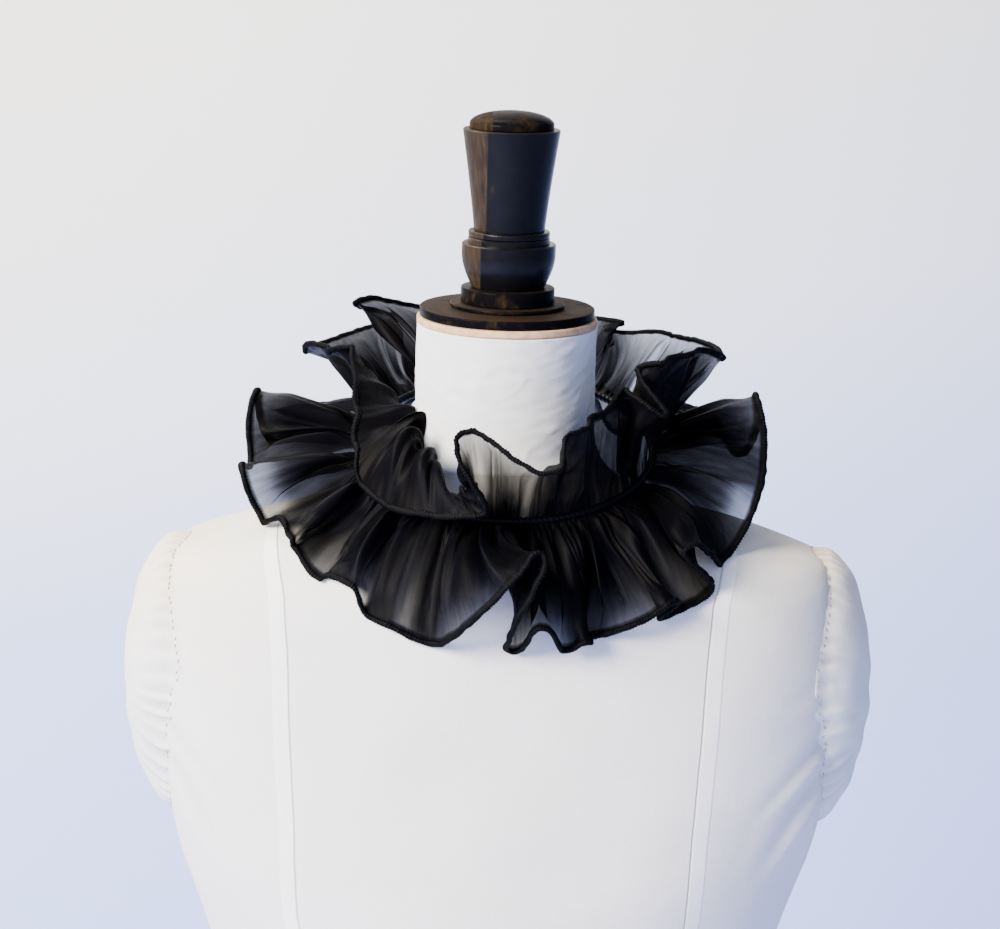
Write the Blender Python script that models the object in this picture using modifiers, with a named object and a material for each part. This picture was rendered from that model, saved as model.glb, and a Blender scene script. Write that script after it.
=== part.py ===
"""Black organza ruff collar standing on a cloth-covered, limbless dress form.

Metres, +Z up. The origin is the centre of the form's flat underside, the front faces -Y
and the wearer's left is +X. Angles round the neck are in degrees from the front, + towards +X.
"""
import math

import bmesh
import bpy
import numpy as np

# Gaps that neighbouring solids keep, and the one under cloth that lies on the form
SEAM_GAP = 0.0003
REST_GAP = 0.0011
SLOPE_STEP = 0.0005
CLEARING_ROUNDS = 6

# The gather line of the collar: a tilted ellipse loose round the neck
RING_X = 0.003
RING_Y = 0.010
RING_Z = 0.6735
RING_HALF_WIDTH = 0.088
RING_HALF_DEPTH = 0.080
RING_RISE = 0.0265
BAND_RADIUS = 0.0026
BAND_END = 176.5
BAND_STEPS = 60

# The ruffled cloth on each side of the gather line
CLOTH_WALL = 0.0012
FRILL_START = BAND_RADIUS + SEAM_GAP
FRILL_COLUMNS = 183
FRILL_ROWS = (0.0, 0.13, 0.34, 0.56, 0.78, 1.0)
GATHERS = 38
GATHER_DEPTH = 0.0011
GATHER_FULL = 0.12
GATHER_FADE = 0.4
LIFT_SPREAD = 0.05
FOLD_GROWTH = 0.8
TURN_DROP = 0.16
TURN_SLIP = 0.25
SPLINE_STEPS = 24

# One row for each turn of the hem: where its cloth springs from the gather line, then where the
# hem lies: direction round the neck, half the width of the turn, lift above level, reach in mm;
# and how far the cloth arches above the straight line between the two, in mm.
# A negative half width is a layer that runs back under the one before it.
FOLD_COLUMNS = ("gather", "azimuth", "half_width", "lift", "reach", "bow")
UPPER_FOLDS = (
    (-178, -178, 3, 21, 77, 3),
    (-162, -154, 4, 28, 76, 4),
    (-148, -124, 4, 42, 75, 4),
    (-136, -160, 4, 26, 77, 3),
    (-123, -128, 4, 19, 76, 0),
    (-108, -98, 3, 56, 52, 2),
    (-96, -62, 3, 80, 56, 8),
    (-81, -62, 2, 82, 50, 16),
    (-68, -76, 2, 76, 38, 26),
    (-57, -80, 2, 54, 28, 36),
    (-47, -76, 2, 14, 22, 38),
    (-37, -50, 2, 2, 20, 38),
    (-28, -4, 3, 8, 26, 28),
    (-19, 16, 3, 14, 38, 12),
    (-10, -11, 4, 58, 72, 6),
    (8, 9, 3, 36, 72, 6),
    (24, 7, 3, 60, 68, 4),
    (36, 2, 3, 84, 58, 6),
    (50, 14, 3, 92, 64, 6),
    (57, 44, 2, 64, 54, 8),
    (63, 20, 3, 98, 68, 4),
    (74, 34, 4, 80, 70, 4),
    (90, 60, 6, 68, 70, 4),
    (108, 103, 4, 42, 65, 0),
    (130, 150, 5, 27, 78, 3),
    (142, 168, 3, 20, 80, 3),
    (154, 158, 3, 24, 78, 3),
    (178, 178, 3, 20, 77, 3),
)
LOWER_FOLDS = (
    (-178, -178, 3, -22, 76, 4),
    (-164, -165, 7, -6, 78, 4),
    (-148, -147, 7, -34, 76, 4),
    (-130, -130, 8, -12, 78, 4),
    (-114, -114, 6, -20, 76, 4),
    (-98, -96, 6, 18, 73, 4),
    (-88, -90, 4, -11, 71, 4),
    (-80, -82, 4, -5, 75, 4),
    (-72, -80, 3, -28, 72, 4),
    (-65, -66, 4, -22, 63, 4),
    (-62, -59, 2, -27, 65, 4),
    (-59, -63, 2, -35, 66, 4),
    (-52, -54, 4, -44, 70, 4),
    (-44, -44, 9, -39, 65, 4),
    (-33, -36, 5, -54, 74, 4),
    (-20, -17, 8, -62, 77, 4),
    (-2, 17, 2, 0, 70, 4),
    (2, 2, -3, -42, 74, 4),
    (5, -3, 4, -66, 76, 4),
    (9, 8, 4, -40, 74, 4),
    (14, 19, 3, -57, 79, 4),
    (18, 25, 2, -51, 78, 4),
    (21, 20, -3, -62, 74, 4),
    (25, 18, 4, -69, 71, 4),
    (32, 34, 3, -45, 76, 4),
    (38, 45, 3, -36, 75, 4),
    (43, 41, 3, -50, 76, 4),
    (50, 54, 5, -42, 78, 4),
    (57, 32, 4, -15, 68, 4),
    (65, 58, 3, -38, 70, 4),
    (80, 74, 4, -9, 68, 4),
    (88, 84, 3, -5, 68, 4),
    (99, 92, 6, 24, 70, 4),
    (114, 114, 6, -20, 76, 4),
    (132, 132, 8, -10, 78, 4),
    (150, 150, 7, -33, 76, 4),
    (166, 166, 6, -6, 78, 4),
    (178, 178, 3, -22, 76, 4),
)

# The closing at the centre back: a flat hook and its eye, side by side inside the band's ends
CLASP_LENGTH = 0.0070
CLASP_HEIGHT = 0.0052
CLASP_THICKNESS = 0.0014
CLASP_BEVEL = 0.0005
CLASP_INSET = 0.0004  # the cord curves inwards past the flat plates

# The dress form: one row for each level, from the hip to the top of the neck
BODY_COLUMNS = ("height", "half_width", "front", "back", "squareness")
BODY_LEVELS = (
    (0.0123, 0.165, 0.103, 0.106, 2.2),
    (0.060, 0.171, 0.108, 0.114, 2.2),
    (0.120, 0.168, 0.108, 0.110, 2.2),
    (0.180, 0.148, 0.101, 0.093, 2.2),
    (0.235, 0.134, 0.097, 0.081, 2.1),
    (0.290, 0.145, 0.106, 0.082, 2.1),
    (0.345, 0.169, 0.118, 0.088, 2.1),
    (0.400, 0.189, 0.123, 0.095, 2.2),
    (0.450, 0.205, 0.118, 0.099, 2.3),
    (0.500, 0.213, 0.109, 0.100, 2.4),
    (0.550, 0.214, 0.101, 0.098, 2.4),
    (0.590, 0.210, 0.093, 0.094, 2.3),
    (0.606, 0.204, 0.087, 0.091, 2.2),
    (0.615, 0.192, 0.082, 0.088, 2.1),
    (0.624, 0.164, 0.077, 0.085, 2.1),
    (0.634, 0.130, 0.070, 0.081, 2.0),
    (0.645, 0.096, 0.063, 0.075, 2.0),
    (0.658, 0.070, 0.057, 0.066, 2.0),
    (0.674, 0.0570, 0.0545, 0.0575, 2.0),
    (0.694, 0.0535, 0.0535, 0.0535, 2.0),
    (0.7515, 0.0535, 0.0535, 0.0535, 2.0),
)
BODY_AROUND = 40
BODY_RINGS = 28
ARMHOLE_X = 0.1985

# Padded caps over the armholes
CAP_X = ARMHOLE_X + SEAM_GAP
CAP_Z = 0.5300
CAP_BULGE = 0.0315
CAP_HALF_DEPTH = 0.050
CAP_HALF_HEIGHT = 0.0860

# The board that closes the form underneath
BOARD_HEIGHT = 0.0120
BOARD_INSET = 0.003

# Turned neck block and finial, stacked upwards from the top of the covered neck
TURNED_STEPS = 28
TURNED_EDGE = 0.0008
SHARP_ANGLE = math.radians(50.0)
NECK_TAPE_RADIUS = 0.0541
NECK_TAPE_HEIGHT = 0.0042
DISC_RADIUS = 0.0525
DISC_HEIGHT = 0.0054
STEP_RADIUS = 0.0343
STEP_HEIGHT = 0.0024
PLINTH_RADIUS = 0.0281
PLINTH_HEIGHT = 0.0092
CUP_HEIGHT = 0.0296
CUP_FOOT_RADIUS = 0.0220
CUP_RIM_RADIUS = 0.0281
CUP_SWELL = 0.8
KNOB_RING_RADIUS = 0.0243
KNOB_RING_HEIGHT = 0.0036
KNOB_HEIGHT = 0.0598
KNOB_FOOT_RADIUS = 0.0212
KNOB_TOP_RADIUS = 0.0289
KNOB_HOLLOW = 1.15
DOME_RADIUS = 0.0251
DOME_HEIGHT = 0.0104
DOME_UPRIGHT = 0.0030

ORGANZA = ("black organza", (0.012, 0.012, 0.015), 0.55, 0.0)
RIBBON = ("black ribbon", (0.010, 0.010, 0.012), 0.45, 0.0)
METAL = ("blackened metal", (0.03, 0.03, 0.03), 0.35, 1.0)
CALICO = ("ivory calico", (0.78, 0.76, 0.72), 0.90, 0.0)
TAPE = ("tan tape", (0.55, 0.40, 0.28), 0.80, 0.0)
EBONISED = ("ebonised wood", (0.020, 0.016, 0.018), 0.25, 0.0)
BOARD = ("plain board", (0.35, 0.24, 0.15), 0.70, 0.0)


def clear_scene():
    for old in list(bpy.data.objects):
        bpy.data.objects.remove(old, do_unlink=True)


def material(finish):
    """A Principled material, made once for each finish."""
    name, colour, roughness, metallic = finish
    found = bpy.data.materials.get(name)
    if found:
        return found
    made = bpy.data.materials.new(name)
    made.use_nodes = True
    shader = made.node_tree.nodes["Principled BSDF"]
    shader.inputs["Base Color"].default_value = (*colour, 1.0)
    shader.inputs["Roughness"].default_value = roughness
    shader.inputs["Metallic"].default_value = metallic
    return made


def link(obj, group, finish):
    """Put an object in the part's collection and give it its material."""
    group.objects.link(obj)
    obj.data.materials.append(material(finish))
    return obj


def mesh_object(name, points, faces, group, finish):
    mesh = bpy.data.meshes.new(name)
    mesh.from_pydata([tuple(p) for p in points], [], faces)
    mesh.update()
    mesh.shade_smooth()
    return link(bpy.data.objects.new(name, mesh), group, finish)


def spline(rows, steps):
    """Catmull-Rom curve through the rows, every column at once."""
    padded = np.vstack([2 * rows[0] - rows[1], rows, 2 * rows[-1] - rows[-2]])
    t = np.linspace(0.0, 1.0, steps, endpoint=False)[:, None]
    spans = []
    for a, b, c, d in zip(padded[:-3], padded[1:-2], padded[2:-1], padded[3:]):
        bend = (2 * a - 5 * b + 4 * c - d) * t**2 + (3 * b - a - 3 * c + d) * t**3
        spans.append(0.5 * (2 * b + (c - a) * t + bend))
    return np.vstack(spans + [rows[-1:]])


def ring_point(angle):
    """The gather line at an angle in radians."""
    return np.stack(
        [
            RING_X + RING_HALF_WIDTH * np.sin(angle),
            RING_Y - RING_HALF_DEPTH * np.cos(angle),
            RING_Z - RING_RISE * np.cos(angle),
        ],
        axis=-1,
    )


def by_name(names, rows):
    """The columns of a table, each under its name."""
    return dict(zip(names, np.array(rows, float).T))


def turn_rows(folds):
    """Three hem points for each row of a fold table, so that each turn is round."""
    fold = by_name(FOLD_COLUMNS, folds)
    rows = []
    for here in range(len(folds)):
        for side in (-1, 0, 1):
            there = here + side
            if not 0 <= there < len(folds):
                continue
            slip = TURN_SLIP * abs(side)
            drop = TURN_DROP * abs(side)
            gather = (1.0 - slip) * fold["gather"][here] + slip * fold["gather"][there]
            azimuth = fold["azimuth"][here] + side * fold["half_width"][here]
            rest = [
                (1.0 - drop) * fold[name][here] + drop * fold[name][there]
                for name in ("lift", "reach", "bow")
            ]
            rows.append((gather, azimuth, *rest))
    return np.array(rows)


def mean_along(values, along, spread):
    """Gaussian mean of the values over the strip's length, its ends mirrored."""
    mirror = np.r_[-along[::-1][:-1], along, 2 * along[-1] - along[::-1][1:]]
    wide = np.r_[2 * values[0] - values[::-1][:-1], values, 2 * values[-1] - values[::-1][1:]]
    weight = np.exp(-0.5 * ((along[:, None] - mirror[None, :]) / spread) ** 2)
    return (weight * wide).sum(axis=1) / weight.sum(axis=1)


def direction(azimuth, lift):
    return np.stack(
        [np.cos(lift) * np.sin(azimuth), -np.cos(lift) * np.cos(azimuth), np.sin(lift)],
        axis=-1,
    )


def body_levels(rings):
    """The body table at evenly spread places between its rows."""
    table = np.array(BODY_LEVELS, float)
    curve = spline(table, SPLINE_STEPS)
    place = np.linspace(0.0, len(curve) - 1.0, rings)
    return np.stack([np.interp(place, np.arange(len(curve)), c) for c in curve.T], axis=-1)


def body_ring(level, around):
    """One level of the form: a rounded oval, cut off flat at the armholes."""
    height, half_width, front, back, squareness = level
    angle = np.linspace(0.0, 2 * math.pi, around, endpoint=False)
    sine = np.sin(angle)
    cosine = np.cos(angle)
    power = 2.0 / squareness
    x = half_width * np.sign(sine) * np.abs(sine) ** power
    depth = np.where(cosine > 0, front, back)
    y = -depth * np.sign(cosine) * np.abs(cosine) ** power
    x = np.clip(x, -ARMHOLE_X, ARMHOLE_X)
    return np.stack([x, y, np.full_like(x, height)], axis=-1)


def outside(points):
    """How far points lie outside the form, as a share of its width there (0 on its skin)."""
    level = by_name(BODY_COLUMNS, spline(np.array(BODY_LEVELS, float), SPLINE_STEPS))
    half, front, back, squareness = (
        np.interp(points[..., 2], level["height"], level[name]) for name in BODY_COLUMNS[1:]
    )
    depth = np.where(points[..., 1] < 0, front, back)
    across = np.abs(points[..., 0] / half) ** squareness
    through = np.abs(points[..., 1] / depth) ** squareness
    return (across + through) ** (1.0 / squareness) - 1.0


def clear_of_form(points, gap):
    """Cloth that would sink into the form lies on it instead, moved out along its slope."""
    moved = points.copy()
    for _ in range(CLEARING_ROUNDS):
        here = outside(moved)
        steps = [outside(moved + SLOPE_STEP * axis) - here for axis in np.eye(3)]
        slope = np.stack(steps, axis=-1) / SLOPE_STEP
        steepness = np.linalg.norm(slope, axis=-1)
        short = np.maximum(gap - here / steepness, 0.0)
        moved = moved + (short / steepness)[..., None] * slope
    return moved


def frill_grid(folds, columns, rows):
    """Points of a ruffle, rows from the gather line out to the hem."""
    turns = turn_rows(folds)
    curve = spline(turns, SPLINE_STEPS)
    place = np.arange(len(curve)) / SPLINE_STEPS
    gather = np.radians(np.interp(place, np.arange(len(turns)), turns[:, 0]))
    azimuth = np.radians(curve[:, 1])
    lift = np.radians(curve[:, 2])
    reach = curve[:, 3] * 0.001
    bow = curve[:, 4] * 0.001
    hem = ring_point(gather) + reach[:, None] * direction(azimuth, lift)
    length = np.r_[0.0, np.cumsum(np.linalg.norm(np.diff(hem, axis=0), axis=1))]
    along = np.linspace(0.0, length[-1], columns + 1)
    gather, azimuth, lift, reach, bow = (
        np.interp(along, length, column) for column in (gather, azimuth, lift, reach, bow)
    )
    level = mean_along(lift, along, LIFT_SPREAD)
    out = np.array(rows)[:, None]
    growth = out**FOLD_GROWTH
    turn = gather + (azimuth - gather) * growth
    rise = level + (lift - level) * growth
    start = FRILL_START * (1.0 - out)
    leaving = direction(turn, rise + np.arctan2(4.0 * bow, reach))
    points = ring_point(gather)[None] + start[..., None] * leaving
    points = points + (reach * out)[..., None] * direction(turn, rise)
    depth = GATHER_DEPTH * np.minimum(out / GATHER_FULL, 1.0) * np.exp(-out / GATHER_FADE)
    ripple = depth * np.sin(2 * math.pi * GATHERS * along / along[-1])
    arch = 4.0 * bow * out * (1.0 - out)
    points = points + (ripple + arch)[..., None] * direction(turn, rise + 0.5 * math.pi)
    return clear_of_form(points, 0.5 * CLOTH_WALL + REST_GAP)


def grid_faces(rows, columns):
    """Quads of an open grid whose points run row by row."""
    return [
        (r * columns + c, r * columns + c + 1, (r + 1) * columns + c + 1, (r + 1) * columns + c)
        for r in range(rows - 1)
        for c in range(columns - 1)
    ]


def frill(name, folds, group):
    """One side of the ruffled strip: an open surface with its cloth's thickness."""
    grid = frill_grid(folds, FRILL_COLUMNS, FRILL_ROWS)
    rows, columns = grid.shape[:2]
    obj = mesh_object(name, grid.reshape(-1, 3), grid_faces(rows, columns), group, ORGANZA)
    wall = obj.modifiers.new("wall", "SOLIDIFY")
    wall.thickness = CLOTH_WALL
    wall.offset = 0.0
    return obj


def gather_band(group):
    """The ribbon cord that the strip is gathered on, open at the centre back."""
    curve = bpy.data.curves.new("gather_band", "CURVE")
    curve.dimensions = "3D"
    curve.bevel_depth = BAND_RADIUS
    curve.bevel_resolution = 1
    curve.use_fill_caps = True
    path = ring_point(np.radians(np.linspace(-BAND_END, BAND_END, BAND_STEPS)))
    line = curve.splines.new("POLY")
    line.points.add(len(path) - 1)
    for point, place in zip(line.points, path):
        point.co = (*place, 1.0)
    return link(bpy.data.objects.new("gather_band", curve), group, RIBBON)


def rounded_box(name, size, location, bevel, group, finish):
    mesh = bpy.data.meshes.new(name)
    shape = bmesh.new()
    bmesh.ops.create_cube(shape, size=1.0)
    bmesh.ops.scale(shape, vec=size, verts=shape.verts)
    shape.to_mesh(mesh)
    shape.free()
    obj = link(bpy.data.objects.new(name, mesh), group, finish)
    obj.location = location
    edges = obj.modifiers.new("edges", "BEVEL")
    edges.width = bevel
    edges.segments = 2
    return obj


def clasp(group):
    """Hook and eye plates on the neck side of the band's two ends."""
    for name, side in (("closing_hook", -1), ("closing_eye", 1)):
        place = ring_point(np.radians(180.0))
        place = place + np.array(
            [
                side * (0.5 * CLASP_LENGTH + SEAM_GAP),
                -(BAND_RADIUS + SEAM_GAP + CLASP_INSET + 0.5 * CLASP_THICKNESS),
                0.0,
            ]
        )
        size = (CLASP_LENGTH, CLASP_THICKNESS, CLASP_HEIGHT)
        rounded_box(name, size, place, CLASP_BEVEL, group, METAL)


def dress_form(group):
    """The covered torso and neck, lofted through its levels."""
    levels = body_levels(BODY_RINGS)
    points = np.vstack([body_ring(level, BODY_AROUND) for level in levels])
    faces = [tuple(reversed(range(BODY_AROUND)))]
    for r in range(BODY_RINGS - 1):
        for c in range(BODY_AROUND):
            n = (c + 1) % BODY_AROUND
            low = r * BODY_AROUND
            high = low + BODY_AROUND
            faces.append((low + c, low + n, high + n, high + c))
    top = (BODY_RINGS - 1) * BODY_AROUND
    faces.append(tuple(range(top, top + BODY_AROUND)))
    obj = mesh_object("form_torso", points, faces, group, CALICO)
    obj.data.set_sharp_from_angle(angle=SHARP_ANGLE)
    return obj


def shoulder_cap(name, side, group):
    """Half an ellipsoid that closes one armhole."""
    mesh = bpy.data.meshes.new(name)
    shape = bmesh.new()
    bmesh.ops.create_uvsphere(shape, u_segments=20, v_segments=12, radius=1.0)
    bmesh.ops.bisect_plane(
        shape,
        geom=shape.verts[:] + shape.edges[:] + shape.faces[:],
        dist=1e-6,
        plane_co=(0.0, 0.0, 0.0),
        plane_no=(side, 0.0, 0.0),
        clear_inner=True,
    )
    rim = [edge for edge in shape.edges if edge.is_boundary]
    bmesh.ops.holes_fill(shape, edges=rim, sides=0)
    size = (CAP_BULGE, CAP_HALF_DEPTH, CAP_HALF_HEIGHT)
    bmesh.ops.scale(shape, vec=size, verts=shape.verts)
    bmesh.ops.recalc_face_normals(shape, faces=shape.faces)
    shape.to_mesh(mesh)
    shape.free()
    mesh.shade_smooth()
    mesh.set_sharp_from_angle(angle=SHARP_ANGLE)
    obj = link(bpy.data.objects.new(name, mesh), group, CALICO)
    obj.location = (side * CAP_X, 0.0, CAP_Z)
    return obj


def base_board(group):
    """The oval board under the hip, whose underside the part stands on."""
    level = (0.0, *BODY_LEVELS[0][1:])
    outline = body_ring(level, BODY_AROUND)
    shrink = 1.0 - BOARD_INSET / BODY_LEVELS[0][1]
    curve = bpy.data.curves.new("base_board", "CURVE")
    curve.dimensions = "2D"
    curve.fill_mode = "BOTH"
    curve.extrude = 0.5 * BOARD_HEIGHT
    line = curve.splines.new("POLY")
    line.points.add(len(outline) - 1)
    line.use_cyclic_u = True
    for point, place in zip(line.points, outline * shrink):
        point.co = (place[0], place[1], 0.0, 1.0)
    obj = link(bpy.data.objects.new("base_board", curve), group, BOARD)
    obj.location = (0.0, 0.0, 0.5 * BOARD_HEIGHT)
    return obj


def turned(name, profile, bottom, group, finish):
    """A solid of revolution; the profile runs down from the top of its axis."""
    mesh = bpy.data.meshes.new(name)
    points = [(radius, 0.0, height) for radius, height in profile]
    mesh.from_pydata(points, [(i, i + 1) for i in range(len(points) - 1)], [])
    obj = link(bpy.data.objects.new(name, mesh), group, finish)
    obj.location = (0.0, 0.0, bottom)
    spin = obj.modifiers.new("spin", "SCREW")
    spin.steps = TURNED_STEPS
    spin.render_steps = TURNED_STEPS
    spin.use_merge_vertices = True
    spin.merge_threshold = 0.00001
    spin.use_smooth_shade = True
    return obj


def slab(radius, height):
    """Profile of a flat round slab with softened edges."""
    return [
        (0.0, height),
        (radius - TURNED_EDGE, height),
        (radius, height - TURNED_EDGE),
        (radius, TURNED_EDGE),
        (radius - TURNED_EDGE, 0.0),
        (0.0, 0.0),
    ]


def cup_profile():
    """A bowl that swells from its foot and stands nearly upright at the rim."""
    points = [(0.0, CUP_HEIGHT), (CUP_RIM_RADIUS - TURNED_EDGE, CUP_HEIGHT)]
    for share in np.linspace(1.0, 0.0, 8):
        swell = math.sin(0.5 * math.pi * min(1.0, share / CUP_SWELL))
        radius = CUP_FOOT_RADIUS + (CUP_RIM_RADIUS - CUP_FOOT_RADIUS) * swell
        points.append((radius, share * (CUP_HEIGHT - TURNED_EDGE)))
    points.append((0.0, 0.0))
    return points


def knob_profile():
    """The tapering grip, a little hollow along its side."""
    points = [(0.0, KNOB_HEIGHT)]
    for share in np.linspace(1.0, 0.0, 7):
        radius = KNOB_FOOT_RADIUS + (KNOB_TOP_RADIUS - KNOB_FOOT_RADIUS) * share**KNOB_HOLLOW
        points.append((radius, share * KNOB_HEIGHT))
    points.append((0.0, 0.0))
    return points


def dome_profile():
    """The low domed cap with an upright edge."""
    points = []
    for share in np.linspace(0.0, 1.0, 7):
        angle = 0.5 * math.pi * share
        rise = DOME_UPRIGHT + (DOME_HEIGHT - DOME_UPRIGHT) * math.cos(angle)
        points.append((DOME_RADIUS * math.sin(angle), rise))
    points.append((DOME_RADIUS, 0.0))
    points.append((0.0, 0.0))
    return points


def neck_stack(group):
    """Tape, disc, step, plinth, cup, ring, knob and dome, each just above the last."""
    pieces = (
        ("neck_tape", NECK_TAPE_HEIGHT, slab(NECK_TAPE_RADIUS, NECK_TAPE_HEIGHT), TAPE),
        ("neck_disc", DISC_HEIGHT, slab(DISC_RADIUS, DISC_HEIGHT), EBONISED),
        ("disc_step", STEP_HEIGHT, slab(STEP_RADIUS, STEP_HEIGHT), EBONISED),
        ("finial_plinth", PLINTH_HEIGHT, slab(PLINTH_RADIUS, PLINTH_HEIGHT), EBONISED),
        ("finial_cup", CUP_HEIGHT, cup_profile(), EBONISED),
        ("finial_ring", KNOB_RING_HEIGHT, slab(KNOB_RING_RADIUS, KNOB_RING_HEIGHT), EBONISED),
        ("finial_knob", KNOB_HEIGHT, knob_profile(), EBONISED),
        ("finial_dome", DOME_HEIGHT, dome_profile(), EBONISED),
    )
    bottom = BODY_LEVELS[-1][0] + SEAM_GAP
    for name, height, profile, finish in pieces:
        turned(name, profile, bottom, group, finish)
        bottom += height + SEAM_GAP


def build():
    clear_scene()
    group = bpy.data.collections.new("ruff collar on dress form")
    bpy.context.scene.collection.children.link(group)
    frill("upper_frill", UPPER_FOLDS, group)
    frill("lower_frill", LOWER_FOLDS, group)
    gather_band(group)
    clasp(group)
    dress_form(group)
    shoulder_cap("shoulder_cap_right", -1, group)
    shoulder_cap("shoulder_cap_left", 1, group)
    base_board(group)
    neck_stack(group)


build()
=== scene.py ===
import math

import bmesh
import bpy
import numpy as np
from mathutils import Matrix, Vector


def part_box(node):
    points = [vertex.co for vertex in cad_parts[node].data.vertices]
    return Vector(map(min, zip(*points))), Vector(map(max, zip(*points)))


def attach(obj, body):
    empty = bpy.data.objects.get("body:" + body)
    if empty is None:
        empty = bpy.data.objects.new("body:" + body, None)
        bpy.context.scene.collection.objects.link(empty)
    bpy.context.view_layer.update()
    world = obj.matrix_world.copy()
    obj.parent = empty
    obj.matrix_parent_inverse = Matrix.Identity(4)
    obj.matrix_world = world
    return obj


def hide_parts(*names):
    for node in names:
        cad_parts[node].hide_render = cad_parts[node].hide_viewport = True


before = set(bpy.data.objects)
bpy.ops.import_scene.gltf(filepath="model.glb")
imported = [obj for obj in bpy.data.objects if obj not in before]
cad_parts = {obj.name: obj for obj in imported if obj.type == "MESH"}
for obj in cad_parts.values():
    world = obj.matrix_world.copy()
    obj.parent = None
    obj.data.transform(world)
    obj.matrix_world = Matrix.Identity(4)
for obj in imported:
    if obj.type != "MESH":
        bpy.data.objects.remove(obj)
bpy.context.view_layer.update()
print("frame loaded")

fullTurn = 2.0 * math.pi


# Small tools for colour, nodes and meshes

def linearColour(hexText, alpha=1.0):
    # each sRGB channel c goes to ((c + 0.055) / 1.055) ** 2.4, or c / 12.92 near black
    channels = [int(hexText[i:i + 2], 16) / 255 for i in (1, 3, 5)]
    return (*[c / 12.92 if c <= 0.04045 else ((c + 0.055) / 1.055) ** 2.4 for c in channels], alpha)


def feed(tree, node, inputs):
    # each input takes a plain value, the socket that feeds it, or a node, for its first output in use
    for key, value in inputs.items():
        if isinstance(value, bpy.types.Node):
            value = next(socket for socket in value.outputs if socket.enabled)
        if isinstance(value, bpy.types.NodeSocket):
            tree.links.new(value, node.inputs[key])
        else:
            node.inputs[key].default_value = value


def addNode(tree, kind, inputs=None, stops=(), **settings):
    # one shader node with its settings, what feeds it, and a colour ramp's stops of (place, hex colour)
    node = tree.nodes.new("ShaderNode" + kind)
    for name, value in settings.items():
        setattr(node, name, value)
    feed(tree, node, inputs or {})
    if stops:
        elements = node.color_ramp.elements
        while len(elements) < len(stops):
            elements.new(0.5)
        for element, (place, hexText) in zip(elements, stops):
            element.position = place
            element.color = linearColour(hexText)
    return node


def newMaterial(name, **shaderInputs):
    # a Principled material; the inputs are named with underscores for spaces
    material = bpy.data.materials.new(name)
    material.use_nodes = True
    shader = material.node_tree.nodes["Principled BSDF"]
    for key, value in shaderInputs.items():
        shader.inputs[key.replace("_", " ")].default_value = value
    return material, material.node_tree, shader


def setSurface(tree, shader, colour, height, strength, distance, under=None):
    # the shader's colour, and its bump, which may lie on the finer bump under it
    bump = addNode(tree, "Bump", {"Height": height, "Strength": strength, "Distance": distance})
    if under:
        feed(tree, bump, {"Normal": under})
    feed(tree, shader, {"Base Color": colour, "Normal": bump})


def smoothStep(values, low, high):
    # 0 below low, 1 above high, and 3t^2 - 2t^3 between them
    t = np.clip((values - low) / (high - low), 0.0, 1.0)
    return t * t * (3.0 - 2.0 * t)


def unit(vectors):
    # each vector divided by its length
    return vectors / np.maximum(np.linalg.norm(vectors, axis=-1, keepdims=True), 1e-12)


def softNoise(points, size, seed, waves=20):
    # the sum of sines of random direction and phase, each about `size` metres long, near -1 to 1
    random = np.random.default_rng(seed)
    way = unit(random.normal(size=(waves, points.shape[-1])))
    way *= fullTurn / size * random.uniform(0.6, 1.5, (waves, 1))
    phase = random.uniform(0.0, fullTurn, waves)
    return np.sin(points @ way.T + phase).sum(axis=-1) / math.sqrt(waves)


def splineThrough(rows, steps):
    # Catmull-Rom: each span is a cubic whose end slopes are half the difference of its neighbours
    rows = np.asarray(rows, float)
    ends = np.vstack([2 * rows[0] - rows[1], rows, 2 * rows[-1] - rows[-2]])
    a, b, c, d = (ends[i:len(ends) - 3 + i, None] for i in range(4))
    t = (np.arange(steps) / steps)[None, :, None]
    spans = 2 * b + (c - a) * t + (2 * a - 5 * b + 4 * c - d) * t**2 + (3 * b - a - 3 * c + d) * t**3
    return np.vstack([0.5 * spans.reshape(-1, rows.shape[1]), rows[-1:]])


def normalsOf(points, closed=False):
    # unit normal: the cross product of the grid's slopes along its columns and its rows
    if closed:
        across = np.roll(points, -1, axis=1) - np.roll(points, 1, axis=1)
    else:
        across = np.gradient(points, axis=1)
    return unit(np.cross(across, np.gradient(points, axis=0)))


def tubePoints(path, sideways, upwards, halfWidth, halfThickness, around):
    # an oval section carried along a path: point = path + a cos(t) sideways + b sin(t) upwards
    angle = np.linspace(0.0, fullTurn, around, endpoint=False)[None]
    a, b = (halfWidth * np.cos(angle))[..., None], (halfThickness * np.sin(angle))[..., None]
    return path[:, None] + a * sideways[:, None] + b * upwards[:, None]


def turnedRound(radius, height, around):
    # point = (radius sin(t), -radius cos(t), height), for angles t from the front
    angle = np.linspace(0.0, fullTurn, around, endpoint=False)[None]
    return np.stack(np.broadcast_arrays(radius * np.sin(angle), -radius * np.cos(angle), height), axis=-1)


def addObject(name, data):
    # a mesh, camera or lamp is put into the scene
    holder = bpy.data.objects.new(name, data)
    bpy.context.scene.collection.objects.link(holder)
    return holder


def newMesh(name, points, faces, material):
    # a smooth mesh of one material
    mesh = bpy.data.meshes.new(name)
    mesh.from_pydata(points.reshape(-1, 3).tolist(), [], faces)
    mesh.shade_smooth()
    mesh.materials.append(material)
    return mesh


def closeMesh(mesh):
    # doubled vertices are merged and all faces turned outwards
    shape = bmesh.new()
    shape.from_mesh(mesh)
    bmesh.ops.remove_doubles(shape, verts=shape.verts, dist=1e-6)
    bmesh.ops.recalc_face_normals(shape, faces=shape.faces)
    shape.to_mesh(mesh)
    shape.free()


def addPiece(name, mesh):
    # a finished mesh becomes a piece of the part
    piece = addObject(name, mesh)
    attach(piece, "root")
    return piece


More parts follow.
